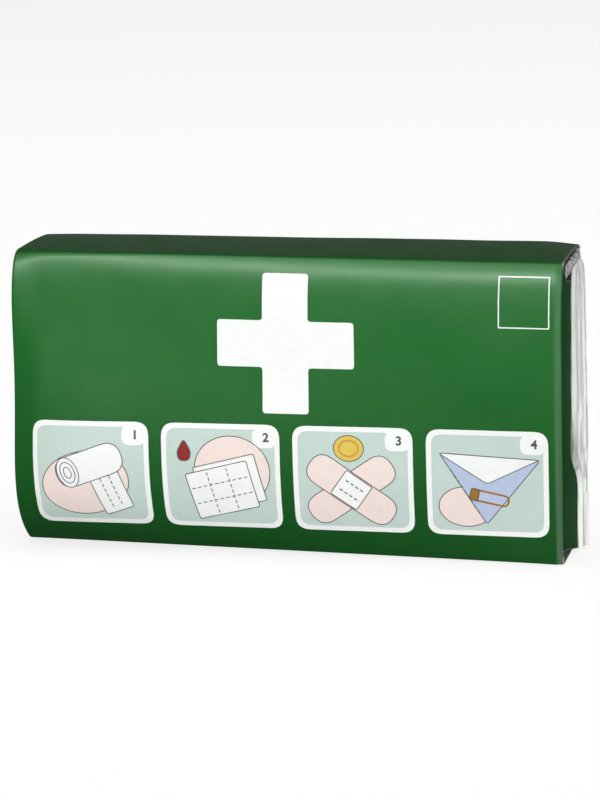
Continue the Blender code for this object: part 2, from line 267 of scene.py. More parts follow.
class WrapperSettings(bpy.types.PropertyGroup):
    """Sizes and colours of the printed wrapper"""

    length: a_length("Length", "Length between the pack's ends", 2.0 * (WRAPPER_HIGH.x - FLAP_STAND))
    height: a_length("Height", "Height at the front top crease", WRAPPER_HIGH.z - CREST)
    depth: a_length("Depth", "Depth between the front and back creases", 0.0314)
    sheet: a_length("Sheet", "Thickness of the printed sheet", 0.00035)
    front_swell: a_length("Front swell", "How far the contents push the front panel out", 0.0115)
    back_swell: a_length("Back swell", "How far the contents push the back panel out", 0.0045)
    shoulder: a_length("Shoulder", "How far the front rounds out just under its top crease", 0.0062)
    shoulder_reach: a_length("Shoulder reach", "How far below the crease the shoulder rounds out", 0.0068)
    crown: a_length("Crown", "How far the top panel rises in its middle", 0.0005)
    rise: a_length("Rise", "How much higher the top panel's rear crease lies", 0.0008)
    crease: a_length("Crease", "Radius of the softest crease", 0.0040)
    end_radius: a_length("End radius", "Radius round the closed end", 0.0014)
    end_dome: a_length("End dome", "How far the closed end bulges", 0.0012)
    edge_width: a_length("Edge strip", "Width of the turned strip beside the open end's crease", 0.0025)
    edge_fall: a_length("Edge fall", "How far that strip falls back to the crease", 0.0009)
    fold: a_length("Fold", "Outer radius of the fold into the flap", 0.0006)
    cut_edge: a_length("Cut edge", "Width of the pale line along the cut edges", 0.0003)
    flap_reach: a_length("Flap reach", "Width of the flap over the open end", 0.0225)
    flap_low: a_length("Flap foot", "Height of the flap's lower edge at the crease", 0.0041)
    flap_top_gap: a_length("Flap head", "Gap between the flap and the top crease", 0.0014)
    flap_shoulder: a_length("Flap shoulder", "How far the flap's upper edge drops", 0.0075)
    dent: a_length("Dents", "Depth of the soft dents", 0.0006)
    green: a_colour("Green", "Colour of the printed sheet", (0.011, 0.136, 0.020))
    bare: a_colour("Bare sheet", "Colour of the unprinted side and cut edges", (0.36, 0.42, 0.33))


class PrintSettings(bpy.types.PropertyGroup):
    """Places, sizes and inks of the print on the front panel"""

    cross_place: a_place("Cross", "Middle of the cross, along and up", (0.0020, 0.0680))
    cross_reach: a_length("Cross reach", "The cross from arm to arm", 0.0433)
    cross_bar: a_length("Cross bar", "Width of the cross's bars", 0.0145)
    panel_place: a_place("Panels", "Middle of the row of panels, along and up", (0.0019, 0.0257))
    panel_size: a_place("Panel size", "Width and height of a panel", (0.0375, 0.0341))
    panel_step: a_length("Panel step", "From one panel to the next", 0.0416)
    border: a_length("Border", "White border of a panel", 0.0016)
    corner: a_length("Corner", "Corner radius of a panel", 0.0043)
    square_place: a_place("Square", "Middle of the empty square, along and up", (0.0760, 0.0827))
    square_side: a_length("Square side", "Side of the empty square", 0.0152)
    line: a_length("Line", "Width of the thin lines", 0.00028)
    digit: a_length("Digit", "Size of the panels' numbers", 0.0039)
    white: a_colour("White", "White ink", (0.90, 0.92, 0.90))
    tint: a_colour("Tint", "Ground of the panels", (0.55, 0.67, 0.62))
    dark: a_colour("Dark", "Ink of the numbers and lines", (0.07, 0.08, 0.08))
    pink: a_colour("Pink", "Pink ink", (0.88, 0.74, 0.69))
    red: a_colour("Red", "Red ink", (0.26, 0.02, 0.015))
    yellow: a_colour("Yellow", "Yellow ink", (0.72, 0.56, 0.10))
    orange: a_colour("Orange", "Orange ink", (0.69, 0.29, 0.05))
    blue: a_colour("Blue", "Pale blue ink", (0.48, 0.56, 0.74))
    ochre: a_colour("Ochre", "Ochre ink", (0.34, 0.16, 0.03))


class PouchSettings(bpy.types.PropertyGroup):
    """Sizes and colours of the film pouch"""

    film: a_length("Film", "Thickness of the film", 0.00012)
    gap: a_length("Gap", "Gap between the film and the wrapper", 0.0006)
    start: a_length("Start", "Where the pouch starts behind the closed end", 0.0080)
    pleat_stand: a_length("Pleat stand", "How far the pleats stand off the flap", 0.0017)
    slot: a_length("Slot", "Width of the slot behind the flap", 0.0026)
    foot: a_length("Foot", "Height of the gathered film's lower edge", 0.0004)
    colour: a_colour("Film colour", "Colour of the film's haze", (0.88, 0.89, 0.87))


class BandageSettings(bpy.types.PropertyGroup):
    """Sizes and colours of the folded bandage"""

    inset: a_length("Inset", "How far the bandage lies inside the wrapper's outside", 0.0024)
    layers: IntProperty(name="Layers", description="Folded layers across the pack", default=5)
    groove: a_length("Groove", "Depth of the grooves between layers", 0.0012)
    end_radius: a_length("End radius", "Radius of the layers' folded ends", 0.0040)
    colour: a_colour("Gauze", "Colour of the gauze", (0.80, 0.78, 0.73))


class StageSettings(bpy.types.PropertyGroup):
    """The floor, lights and camera"""

    floor_size: a_length("Floor", "Width of the floor", 14.0)
    floor_colour: a_colour("Floor colour", "Colour of the floor", (0.975, 0.975, 0.97))
    main: a_power("Main light", "main light", 6.6)
    strip: a_power("Strip light", "light that shines off the top crease", 5.8)
    crown: a_power("Crown light", "light that shines off rounder creases", 2.5)
    edge: a_power("Edge light", "light that shines off the edge strip", 2.2)
    side: a_power("Side light", "light on the open end", 0.8)
    glow: a_power("Film light", "light that only the film shows", 4.2)
    rear: a_power("Rear light", "light that shines off the top panel", 0.12)
    back: a_power("Back light", "light on the back", 4.5)
    left: a_power("Left light", "light on the closed end", 2.5)
    above: a_power("Floor light", "light on the floor", 40.0)
    world: FloatProperty(name="Surroundings", description="Brightness of the surroundings", default=0.06)
    lens: FloatProperty(name="Lens", description="Focal length in millimetres", default=117.0)
    azimuth: an_angle("Azimuth", "The camera's angle round the pack", math.radians(14.97))
    elevation: an_angle("Elevation", "The camera's angle over the floor", math.radians(13.61))
    roll: an_angle("Roll", "The camera's turn about its line of sight", math.radians(-1.46))
    distance: a_length("Distance", "From the camera to its target", 0.82408)


# Shapes shared by the soft pieces


def smooth(value):
    value = min(max(value, 0.0), 1.0)
    return value * value * (3.0 - 2.0 * value)


def stretch(start, end, count):
    """Places from start, and up to but without end."""
    return [start + (end - start) * step / count for step in range(count)]


def shares(count):
    """The shares of a way in equal steps, from 0 to 1."""
    return [step / count for step in range(count + 1)]


def blended(rows, value):
    """The row of a table at a value of its first column, on a smooth curve through the rows around it."""
    value = min(max(value, rows[0][0]), rows[-1][0])
    at = max(i for i, row in enumerate(rows[:-1]) if row[0] <= value)
    low, high = rows[at], rows[at + 1]
    before, after = rows[max(at - 1, 0)], rows[min(at + 2, len(rows) - 1)]
    span = high[0] - low[0]
    t = (value - low[0]) / span
    weights = (2 * t**3 - 3 * t**2 + 1, t**3 - 2 * t**2 + t, 3 * t**2 - 2 * t**3, t**3 - t**2)
    fields = []
    for a, b, c, d in zip(before, low, high, after):
        start = (c - a) / (high[0] - before[0]) * span
        end = (d - b) / (after[0] - low[0]) * span
        fields.append(weights[0] * b + weights[1] * start + weights[2] * c + weights[3] * end)
    return type(low)(*fields)


def bent(start, corner, end, t):
    """A point on the curve from start to end that their corner draws out."""
    weights = ((1.0 - t) ** 2, 2.0 * t * (1.0 - t), t**2)
    return tuple(sum(w * p[axis] for w, p in zip(weights, (start, corner, end))) for axis in (0, 1))


def wander(x, y, z, size, seed):
    """A smooth unevenness from -1 to 1 whose lumps are about size across."""
    return noise.noise(Vector((x / size + seed, y / size - seed, z / size + 0.5 * seed)))


class Pack:
    """The pack's soft form: its outline across at any place along it, drawn in by any distance."""

    def __init__(self, sizes):
        self.sizes = sizes
        self.end = sizes.length / 2.0

    def section(self, x):
        """The row of the table of sections at a place along the pack."""
        return blended(SECTIONS, x / self.sizes.length + 0.5)

    def relief(self, x, z, side):
        """Soft dents of the front or back panel, none at its edges."""
        s = self.sizes
        along, up = x / s.length + 0.5, z / s.height
        out, y = 0.0, 1.0
        if side == "front":
            y = 0.0
            for dent in DENTS:
                far = ((along - dent.across) / dent.wide) ** 2 + ((up - dent.up) / dent.tall) ** 2
                out += dent.out * math.exp(-far)
        out += 0.55 * wander(x, y, z, 0.034, 3.0)
        out += 0.16 * wander(x, y, z, 0.012, 8.0)
        edges = smooth(min(z, s.height - z) / 0.012) * smooth(min(self.end - x, self.end + x) / 0.010)
        return s.dent * out * edges

    def front_out(self, section, x, z):
        """How far the front panel stands forward of the creases' plane."""
        s = self.sizes
        level = 2.0 * z / s.height - 1.0
        out = s.front_swell * (1.0 - level**2) * (
            section.belly + section.lean * level + section.heel * level**2
        )
        reach = s.shoulder_reach * (0.55 + 0.50 * section.shoulder)
        fullness = (1.0 - math.exp(-max(s.height - z, 0.0) / reach)) * (1.0 + level) / 2.0
        out += s.shoulder * section.shoulder * (fullness - 0.5 * (1.0 - level**2) ** 2)
        strip = (x - self.end + s.edge_width) / s.edge_width
        out -= s.edge_fall * max(0.0, strip) ** 1.15
        return out + self.relief(x, z, "front")

    def back_out(self, section, x, z):
        """How far the back panel stands behind the creases' plane."""
        level = 2.0 * z / self.sizes.height - 1.0
        return self.sizes.back_swell * section.back * (1.0 - level**2) + self.relief(x, z, "back")

    def drawn_in(self, out, section, x, z, inset):
        """A panel's distance from the pack's middle, less an inset square to its slope."""
        step = self.sizes.height / 500.0
        slope = (out(section, x, z + step) - out(section, x, z - step)) / (2.0 * step)
        return self.sizes.depth / 2.0 + out(section, x, z) - inset * math.hypot(1.0, slope)

    def top_height(self, section, x, y, inset):
        """The top panel's height: crowned, rising to the rear and a little uneven."""
        s = self.sizes
        across = 2.0 * y / s.depth
        rise = s.rise * section.rise * (across + 1.0) / 2.0
        uneven = 0.00018 * wander(x, y, 2.0, 0.02, 5.0) * smooth((self.end - x) / 0.01)
        return s.height + s.crown * (1.0 - min(1.0, across**2)) + rise + uneven - inset

    def front_shares(self, steps):
        """Where the front panel's points lie between its creases, with one at each end of the flap."""
        s = self.sizes
        last = blended(SECTIONS, 1.0)
        base, top = s.crease * last.base, s.crease * last.top
        span = s.height - base - top
        low = (s.flap_low - base) / span
        high = (s.height - s.flap_top_gap - base) / span
        inner, cut = steps - 6, s.cut_edge / span
        places = [0.0, low / 2.0, low, low + cut]
        places += [low + (high - low) * step / inner for step in range(1, inner)]
        return places + [high - cut, high, (1.0 + high) / 2.0, 1.0]

    def outline(self, x, inset, steps, scallop=None, ends=1.0):
        """Points (y, z) up the front, over the top, down the back and under the base.

        The top and base are drawn in by a share of the inset."""
        s, section = self.sizes, self.section(x)
        base, top = (max(s.crease * share - inset, 0.0004) for share in (section.base, section.top))
        low, high = inset * ends, s.height - inset * ends

        def front(z):
            return (-self.drawn_in(self.front_out, section, x, z, inset), z)

        def back(z):
            return (self.drawn_in(self.back_out, section, x, z, inset), z)

        def dip(y):
            return scallop(y) if scallop else 0.0

        def flat(start, end, height):
            return [(y, height(y)) for y in stretch(start, end, steps.flat) + [end]]

        span = high - low - base - top
        front_side = [front(low + base + span * share) for share in self.front_shares(steps.front)]
        back_side = [back(high - top - span * i / steps.back) for i in range(steps.back + 1)]
        over = flat(
            front(high)[0] + top, back(high)[0] - top,
            lambda y: self.top_height(section, x, y, inset * ends) - dip(y),
        )
        under = flat(back(low)[0] - base, front(low)[0] + base, lambda y: low + dip(y))
        rear = back(high)[0]
        rear_top = (rear, self.top_height(section, x, rear, inset * ends))
        corners = (front(high), rear_top, back(low), front(low))
        sides = (front_side, over, back_side, under)
        points = []
        for side, corner, following in zip(sides, corners, sides[1:] + sides[:1]):
            points += side
            points += [bent(side[-1], corner, following[0], t) for t in shares(steps.crease)[1:-1]]
        return points

    def ring(self, x, inset, steps, scallop=None, ends=1.0):
        """The outline at a place along the pack, in all three axes."""
        return [(x, y, z) for y, z in self.outline(x, inset, steps, scallop, ends)]

    def flap_out(self, column, up):
        """How far the flap stands out of the open end at a share of its height."""
        return FLAP_STAND * (column.out_low + (column.out_high - column.out_low) * up)

    def flap_place(self, y, z, reach):
        """A point of the flap's outer face, from its place on the crease and a share of its reach."""
        s = self.sizes
        column = blended(FLAP_COLUMNS, reach)
        first, last = s.flap_low, s.height - s.flap_top_gap
        up = (z - first) / (last - first)
        low = s.flap_low * column.low
        high = last - s.flap_shoulder * column.high
        out = self.flap_out(column, up)
        out += 0.00025 * reach * wander(0.0, reach * 0.02, z, 0.015, 4.0)
        along = y + (s.flap_reach - s.depth / 2.0 - y) * reach
        return (self.end + out, along, low + (high - low) * up)

    def flap_lift(self, y, z):
        """How far the flap stands out of the open end at a depth and a height."""
        s = self.sizes
        reach = (y + s.depth / 2.0) / s.flap_reach
        column = blended(FLAP_COLUMNS, reach)
        span = s.height - s.flap_top_gap - s.flap_low
        up = min(max((z - s.flap_low) / span, 0.0), 1.0)
        fall = min(max(1.0 - (reach - 1.0) / 0.30, 0.0), 1.0)
        return fall * self.flap_out(column, up)


Steps = namedtuple("Steps", "front flat back crease")
FINE = Steps(92, 22, 60, 6)
PLAIN = Steps(40, 16, 30, 4)
LAYERED = Steps(40, 40, 30, 4)


# Meshes, materials and finishing


def ring_faces(rings, closed=True):
    """Quads between rings of vertices."""
    faces = []
    for one, two in zip(rings, rings[1:]):
        count = len(one) if closed else len(one) - 1
        faces += [(one[i], one[(i + 1) % len(one)], two[(i + 1) % len(two)], two[i]) for i in range(count)]
    return faces


class Skin:
    """Vertices and faces of a soft piece under construction."""

    def __init__(self):
        self.points = []
        self.faces = []

    def ring(self, points):
        first = len(self.points)
        self.points += points
        return list(range(first, len(self.points)))

    def flat_piece(self, name):
        mesh = bpy.data.meshes.new(name)
        mesh.from_pydata(self.points, [], self.faces)
        mesh.validate()
        piece = bpy.data.objects.new(name, mesh)
        bpy.context.scene.collection.objects.link(piece)
        return piece

    def piece(self, name):
        piece = self.flat_piece(name)
        select_only(piece)
        bpy.ops.object.mode_set(mode="EDIT")
        bpy.ops.mesh.select_all(action="SELECT")
        bpy.ops.mesh.normals_make_consistent(inside=False)
        bpy.ops.object.mode_set(mode="OBJECT")
        return piece


def select_only(piece):
    bpy.ops.object.select_all(action="DESELECT")
    piece.select_set(True)
    bpy.context.view_layer.objects.active = piece


def add_modifier(piece, kind, **settings):
    """Adds a modifier and applies it."""
    select_only(piece)
    modifier = piece.modifiers.new(kind.title(), kind)
    for name, value in settings.items():
        setattr(modifier, name, value)
    bpy.ops.object.modifier_apply(modifier=modifier.name)


def finish_piece(piece, slot, *materials, sharp=40.0):
    """Shades a piece, gives it its materials and lets it ride on the pack."""
    select_only(piece)
    bpy.ops.object.shade_smooth_by_angle(angle=math.radians(sharp))
    if not piece.data.materials:
        for material in materials:
            piece.data.materials.append(material)
    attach(piece, "root")
    return piece


class Nodes:
    """A material's node tree under construction."""

    def __init__(self, name):
        self.material = bpy.data.materials.new(name)
        self.material.use_nodes = True
        self.tree = self.material.node_tree
        self.shader = self.tree.nodes["Principled BSDF"]
        self.place = self.add("ShaderNodeTexCoord").outputs["Object"]

    def add(self, kind, **settings):
        node = self.tree.nodes.new(kind)
        for name, value in settings.items():
            setattr(node, name, value)
        return node

    def link(self, source, target):
        self.tree.links.new(source, target)

    def shade(self, source, name):
        """Links a value to an input of the shader."""
        self.link(source, self.shader.inputs[name])

    def axis(self, name):
        """The place along one axis."""
        parts = self.add("ShaderNodeSeparateXYZ")
        self.link(self.place, parts.inputs["Vector"])
        return parts.outputs[name]

    def set(self, **values):
        for name, value in values.items():
            self.shader.inputs[name.replace("_", " ")].default_value = value

    def speckle(self, scale, detail=2.0, roughness=0.5, stretch=None):
        node = self.add("ShaderNodeTexNoise")
        node.inputs["Scale"].default_value = scale
        node.inputs["Detail"].default_value = detail
        node.inputs["Roughness"].default_value = roughness
        place = self.place
        if stretch:
            mapping = self.add("ShaderNodeMapping")
            mapping.inputs["Scale"].default_value = stretch
            self.link(place, mapping.inputs["Vector"])
            place = mapping.outputs["Vector"]
        self.link(place, node.inputs["Vector"])
        return node.outputs["Fac"]

    def spread(self, source, low, high, start=0.3, end=0.7):
        node = self.add("ShaderNodeMapRange")
        self.link(source, node.inputs["Value"])
        for name, value in zip(("From Min", "From Max", "To Min", "To Max"), (start, end, low, high)):
            node.inputs[name].default_value = value
        return node.outputs["Result"]

    def colours(self, source, one, two):
        node = self.add("ShaderNodeMix", data_type="RGBA")
        self.link(source, node.inputs["Factor"])
        node.inputs["A"].default_value = (*one, 1.0)
        node.inputs["B"].default_value = (*two, 1.0)
        return node.outputs["Result"]

    def bump(self, height, strength, distance, under=None):
        node = self.add("ShaderNodeBump")
        node.inputs["Strength"].default_value = strength
        node.inputs["Distance"].default_value = distance
        self.link(height, node.inputs["Height"])
        if under:
            self.link(under, node.inputs["Normal"])
        return node.outputs["Normal"]


def tinted(colour, share):
    return tuple(min(1.0, channel * share) for channel in colour)


def make_print(name, colour, base_shade=1.0, roughness=0.34, shine=0.42):
    """Ink on a smooth coated sheet, with painted shade that darkens it towards its base: faint mottling, a
    fine skin and shallow cockles.
    """
    nodes = Nodes(name)
    mottle = nodes.spread(nodes.speckle(420.0, 4.0), 0.0, 1.0)
    mottled = nodes.colours(mottle, tinted(colour, 0.98), tinted(colour, 1.02))
    # Painted shade: the ink's colour is scaled down towards the base, from a share of itself there up to
    # full colour 65 mm up
    height = nodes.spread(nodes.axis("Z"), base_shade, 1.0, 0.0, 0.065)
    shaded_ink = nodes.add("ShaderNodeVectorMath", operation="SCALE")
    nodes.link(mottled, shaded_ink.inputs["Vector"])
    nodes.link(height, shaded_ink.inputs["Scale"])
    nodes.shade(shaded_ink.outputs["Vector"], "Base Color")
    nodes.shade(nodes.spread(nodes.speckle(90.0, 3.0), roughness - 0.03, roughness + 0.04), "Roughness")
    skin = nodes.bump(nodes.speckle(2600.0, 2.0), 0.06, 0.00005)
    nodes.shade(nodes.bump(nodes.speckle(55.0, 2.0), 0.12, 0.0004, skin), "Normal")
    nodes.set(Specular_IOR_Level=shine)
    return nodes.material


def make_bare(colour):
    """The unprinted side and the cut edges of the sheet."""
    nodes = Nodes("bare_sheet")
    fibre = nodes.spread(nodes.speckle(1800.0, 5.0), 0.0, 1.0)
    nodes.shade(nodes.colours(fibre, tinted(colour, 0.88), tinted(colour, 1.10)), "Base Color")
    nodes.shade(nodes.bump(nodes.speckle(2400.0, 3.0), 0.2, 0.00008), "Normal")
    nodes.set(Roughness=0.62, Specular_IOR_Level=0.3)
    return nodes.material


def make_film(name, colour, clear, hazy, run=0.05, free_edge=1.0):
    """Crinkled film: hazy on its ridges, clearer and darker in its creases, which are drawn out upwards.

    Its haze falls to a share of itself towards the free edge, where a single layer lies on the flap."""
    nodes = Nodes(name)
    ridges = nodes.spread(nodes.speckle(300.0, 3.0, 0.55, (1.0, 1.0, run)), 0.0, 1.0, 0.32, 0.52)
    nodes.shade(nodes.colours(ridges, tinted(colour, 0.66), tinted(colour, 1.06)), "Base Color")
    haze = nodes.add("ShaderNodeMath", operation="MULTIPLY")
    nodes.link(nodes.spread(ridges, clear, hazy, 0.0, 1.0), haze.inputs[0])
    nodes.link(nodes.spread(nodes.axis("Y"), free_edge, 1.0, -0.011, 0.005), haze.inputs[1])
    nodes.shade(haze.outputs[0], "Alpha")
    creases = nodes.bump(nodes.speckle(420.0, 5.0, 0.65, (1.0, 1.0, 2.0 * run)), 0.5, 0.0005)
    nodes.shade(nodes.bump(nodes.speckle(700.0, 4.0, 0.6), 0.25, 0.0003, creases), "Normal")
    nodes.set(Roughness=0.13, Specular_IOR_Level=0.6)
    return nodes.material


def make_gauze(colour):
    """Woven gauze: two crossing runs of fine threads."""
    nodes = Nodes("gauze")
    threads = []
    for direction in ("X", "Z"):
        wave = nodes.add("ShaderNodeTexWave", wave_type="BANDS", bands_direction=direction)
        wave.inputs["Scale"].default_value = 420.0
        wave.inputs["Distortion"].default_value = 0.6
        wave.inputs["Detail"].default_value = 2.0
        nodes.link(nodes.place, wave.inputs["Vector"])
        threads.append(wave.outputs["Fac"])
    weave = nodes.add("ShaderNodeMath", operation="MULTIPLY")
    for thread, socket in zip(threads, weave.inputs):
        nodes.link(thread, socket)
    nodes.shade(nodes.colours(weave.outputs[0], tinted(colour, 0.78), tinted(colour, 1.08)), "Base Color")
    nodes.shade(nodes.bump(weave.outputs[0], 0.6, 0.0003), "Normal")
    nodes.set(Roughness=0.92, Specular_IOR_Level=0.2, Sheen_Weight=0.15)
    return nodes.material


# The pieces


def closed_end_folds(y, z, sizes):
    """How far the closed end is drawn in where the sheet is folded over it."""
    half, height = sizes.depth / 2.0, sizes.height
    lines = [((0.0, half), (0.0, height - half))]
    for side in (-half, half):
        lines += [((side, 0.0), (0.0, half)), ((side, height), (0.0, height - half))]
    nearest = 1.0
    for (y0, z0), (y1, z1) in lines:
        long = math.hypot(y1 - y0, z1 - z0)
        t = ((y - y0) * (y1 - y0) + (z - z0) * (z1 - z0)) / long**2
        t = min(max(t, 0.0), 1.0)
        nearest = min(nearest, math.hypot(y - y0 - t * (y1 - y0), z - z0 - t * (z1 - z0)))
    return math.exp(-((nearest / END_FOLD_WIDTH) ** 2))


def make_wrapper(sizes):
    """The sleeve from its rounded closed end to its open end, the cap over the closed end, and the flap."""
    pack = Pack(sizes)
    skin = Skin()
    tip, radius = -pack.end, sizes.end_radius
    rings = []
    for angle in stretch(0.0, math.pi / 2.0, 8):
        x, inset = tip + radius * (1.0 - math.cos(angle)), radius * (1.0 - math.sin(angle))
        rings.append(pack.ring(x, inset, FINE, ends=0.4))
    finer = pack.end - FINE_REACH
    places = stretch(tip + radius, finer, 88)
    places += stretch(finer, pack.end, 20) + [pack.end - sizes.cut_edge, pack.end]
    rings += [pack.ring(x, 0.0, FINE) for x in places]
    first, last = 2, FINE.front - 2
    for i in range(first, last + 1):
        x, y, z = rings[-1][i]
        rings[-1][i] = (x - sizes.fold, y, z)
    rings = [skin.ring(points) for points in rings]
    skin.faces += ring_faces(rings)

    edge = [skin.points[i] for i in rings[0]]
    middle = [sum(p[axis] for p in edge) / len(edge) for axis in (1, 2)]
    cap = [rings[0]]
    for share in (0.04, 0.09, 0.15, 0.22, 0.30, 0.39, 0.48, 0.58, 0.68, 0.78, 0.88, 0.96):
        points = []
        for _, y, z in edge:
            y += (middle[0] - y) * share
            z += (middle[1] - z) * share
            dome = sizes.end_dome * math.sin(math.pi / 2.0 * min(1.0, share * 1.6))
            drawn = END_FOLD * closed_end_folds(y, z, sizes) * smooth(share / 0.15)
            points.append((tip - dome + drawn, y, z))
        cap.append(skin.ring(points))
    skin.faces += ring_faces(cap)
    skin.faces.append(tuple(cap[-1]))

    crease = [skin.points[i] for i in rings[-1][first:last + 1]]
    columns = [rings[-1][first:last + 1]]
    for angle in stretch(0.0, math.pi / 2.0, 5)[1:] + [math.pi / 2.0]:
        columns.append(skin.ring([
            (x + sizes.fold * math.sin(angle), y + sizes.fold * (1.0 - math.cos(angle)), z)
            for x, y, z in crease
        ]))
    free = 1.0 - sizes.cut_edge / sizes.flap_reach
    for reach in stretch(0.10, 1.0, 23) + [free, 1.0]:
        columns.append(skin.ring([pack.flap_place(y, z, reach) for _, y, z in crease]))
    skin.faces += ring_faces(columns, closed=False)
    end = set(rings[-1]) - set(rings[-1][first + 1:last])
    cuts = [end, {i for column in columns[1:] for i in (column[0], column[-1])}, set(columns[-1])]

    wrapper = skin.piece("wrapper_sheet")
    # Painted shade darkens both sheet materials towards the base, the flap's only a little
    wrapper.data.materials.append(make_print("printed_sheet", sizes.green, base_shade=0.52))
    wrapper.data.materials.append(
        make_print("printed_flap", sizes.green, base_shade=0.90, roughness=0.55, shine=0.12)
    )
    wrapper.data.materials.append(make_bare(sizes.bare))
    for face in wrapper.data.polygons:
        corners = set(face.vertices)
        if any(len(corners & cut) > 1 for cut in cuts):
            face.material_index = 2
        elif face.center.x > pack.end:
            face.material_index = 1
    add_modifier(wrapper, "SOLIDIFY", thickness=sizes.sheet, offset=-1.0, material_offset=2,
                 material_offset_rim=2)
    finish_piece(wrapper, "printed_sheet")
    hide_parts("wrapper")
    return wrapper


def softened(corners, radius, steps=5):
    """An outline with each of its corners rounded off."""
    points = []
    for i, (x, z) in enumerate(corners):
        ends = []
        for px, pz in (corners[i - 1], corners[(i + 1) % len(corners)]):
            share = min(0.5, radius / math.hypot(px - x, pz - z))
            ends.append((x + (px - x) * share, z + (pz - z) * share))
        points += [bent(ends[0], (x, z), ends[1], t) for t in shares(steps)]
    return points


def block(width, height, radius):
    w, h = width / 2.0, height / 2.0
    return softened([(-w, -h), (w, -h), (w, h), (-w, h)], radius)


def disc(width, height, count=40):
    angles = [2.0 * math.pi * step / count for step in range(count)]
    return [(width / 2.0 * math.cos(a), height / 2.0 * math.sin(a)) for a in angles]


def form_outline(form, width, height):
    """Outline of a motif's form, round its own middle."""
    w, h = width / 2.0, height / 2.0
    if form in ("disc", "ring"):
        return disc(width, height)
    if form in ("capsule", "loop"):
        return block(width, height, h)
    if form == "wedge":
        return softened([(0.0, -h), (w, h), (-w, h)], 0.0012)
    if form == "drop":
        return softened([(0.0, h), (-w, -0.2 * h), (-0.7 * w, -h), (0.7 * w, -h), (w, -0.2 * h)], 0.6 * w)
    return block(width, height, min(0.0007, 0.4 * height))


def moved(points, place, turn=0.0):
    cosine, sine = math.cos(math.radians(turn)), math.sin(math.radians(turn))
    return [(place[0] + x * cosine - z * sine, place[1] + x * sine + z * cosine) for x, z in points]


Mark = namedtuple("Mark", "layer ink points")


def stroke(layer, ink, points, width):
    """Marks that draw a closed line."""
    edges = []
    for i, (x, z) in enumerate(points):
        before, after = points[i - 1], points[(i + 1) % len(points)]
        dx, dz = after[0] - before[0], after[1] - before[1]
        share = 0.5 * width / math.hypot(dx, dz)
        edges.append(((x - dz * share, z + dx * share), (x + dz * share, z - dx * share)))
    return [
        Mark(layer, ink, [one[0], one[1], two[1], two[0]])
        for one, two in zip(edges, edges[1:] + edges[:1])
    ]


def motif_marks(motif, middle, line):
    width, height = (0.001 * value for value in motif.size)
    place = [m + 0.001 * p for m, p in zip(middle, motif.place)]
    if motif.form == "dashes":
        count = max(1, round(width / 0.0019))
        dash = block(0.62 * width / count, height, 0.0)
        starts = [width * ((step + 0.5) / count - 0.5) for step in range(count)]
        rows = [moved([(x + start, z) for x, z in dash], place, motif.turn) for start in starts]
        return [Mark(motif.layer, motif.ink, points) for points in rows]
    points = moved(form_outline(motif.form, width, height), place, motif.turn)
    if motif.form in ("ring", "loop"):
        return stroke(motif.layer, motif.ink, points, line * (1.0 if motif.ink == "line" else 2.2))
    marks = [Mark(motif.layer, motif.ink, points)]
    if motif.lined:
        marks += stroke(motif.layer + 1, "line", points, line)
    return marks


def print_marks(ink):
    """All marks of the front panel's print but the numbers."""
    bar, reach = ink.cross_bar / 2.0, ink.cross_reach / 2.0
    arms = [(bar, bar), (bar, reach), (-bar, reach), (-bar, bar), (-reach, bar), (-reach, -bar)]
    cross = arms + [(-x, -z) for x, z in arms]
    marks = [Mark(0, "white", moved(softened(cross, 0.0011), ink.cross_place))]
    square = moved(block(ink.square_side, ink.square_side, 0.0001), ink.square_place)
    marks += stroke(0, "white", square, 1.3 * ink.line)
    width, height = ink.panel_size
    inner = (width - 2.0 * ink.border, height - 2.0 * ink.border)
    for number, middle in panel_middles(ink):
        marks.append(Mark(0, "white", moved(block(width, height, ink.corner), middle)))
        marks.append(Mark(1, "tint", moved(block(*inner, ink.corner - 0.6 * ink.border), middle)))
        tab = moved(block(*TAB_SIZE, TAB_CORNER), [full / 2.0 - far for full, far in zip(inner, TAB_PLACE)])
        marks.append(Mark(2, "white", moved(tab, middle)))
        for motif in MOTIFS:
            if motif.panel == number:
                marks += motif_marks(motif, middle, ink.line)
    return marks


def panel_middles(ink):
    return [
        (number, (ink.panel_place[0] + (number - 2.5) * ink.panel_step, ink.panel_place[1]))
        for number in range(1, 5)
    ]


def lay_on(piece, target, layer):
    """Cuts a flat print finely, lays it on the front of its sheet and fixes it there."""
    mesh = bmesh.new()
    mesh.from_mesh(piece.data)
    bmesh.ops.triangulate(mesh, faces=mesh.faces[:])
    for across in (Vector((1.0, 0.0, 0.0)), Vector((0.0, 0.0, 1.0))):
        places = [vertex.co @ across for vertex in mesh.verts]
        for count in range(math.ceil(min(places) / PRINT_STEP), math.floor(max(places) / PRINT_STEP) + 1):
            everything = mesh.verts[:] + mesh.edges[:] + mesh.faces[:]
            bmesh.ops.bisect_plane(
                mesh, geom=everything, plane_co=count * PRINT_STEP * across, plane_no=across,
            )
    mesh.to_mesh(piece.data)
    mesh.free()
    add_modifier(
        piece, "SHRINKWRAP", target=target, wrap_method="PROJECT", use_project_y=True,
        use_negative_direction=False, use_positive_direction=True, wrap_mode="ABOVE_SURFACE",
        offset=INK_GAP + LAYER_GAP * layer,
    )


